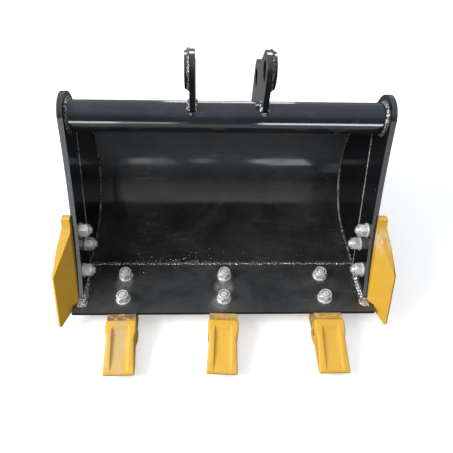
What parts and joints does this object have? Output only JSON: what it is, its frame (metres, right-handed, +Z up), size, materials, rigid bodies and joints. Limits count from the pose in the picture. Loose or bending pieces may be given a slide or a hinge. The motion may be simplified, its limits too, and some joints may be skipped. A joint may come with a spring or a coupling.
{
  "type": "excavator bucket",
  "caption": "Welded mini excavator bucket with a round back, a top tube with two pin ears, bolt-on adapters with pinned tooth points and bolt-on flared side cutters.",
  "frame": {"origin": "on the arm pin's axis, midway between the two ears", "axes": "+X across the bucket to the viewer's right when the opening is seen from in front, +Y from the teeth to the round back, +Z up as the bucket stands on a floor"},
  "size_m": [0.6746, 0.5302, 0.4345],
  "materials": {
    "black_enamel": "gloss",
    "yellow_enamel": "satin",
    "zinc_plate": "satin",
    "pin_steel": "satin",
    "lock_rubber": "matte",
    "nylon": "matte"
  },
  "bodies": {
    "root": {"side_plate_left": "black_enamel", "side_plate_right": "black_enamel", "side_bar_left": "black_enamel", "side_bar_right": "black_enamel", "torque_tube": "black_enamel", "wrapper": "black_enamel", "cutting_edge": "black_enamel", "ear_left": "black_enamel", "ear_right": "black_enamel", "arm_boss_left": "black_enamel", "arm_boss_right": "black_enamel", "tooth_adapter_left": "yellow_enamel", "tooth_adapter_centre": "yellow_enamel", "tooth_adapter_right": "yellow_enamel", "tooth_point_left": "yellow_enamel", "tooth_point_centre": "yellow_enamel", "tooth_point_right": "yellow_enamel", "tooth_pins": "pin_steel", "tooth_pin_locks": "lock_rubber", "adapter_bolts": "zinc_plate", "adapter_washers": "zinc_plate", "adapter_nuts": "zinc_plate", "adapter_nut_inserts": "nylon", "side_cutter_left": "yellow_enamel", "side_cutter_right": "yellow_enamel", "side_cutter_bolts": "zinc_plate", "side_cutter_washers": "zinc_plate", "side_cutter_nuts": "zinc_plate", "side_cutter_nut_inserts": "nylon"}
  },
  "joints": []
}
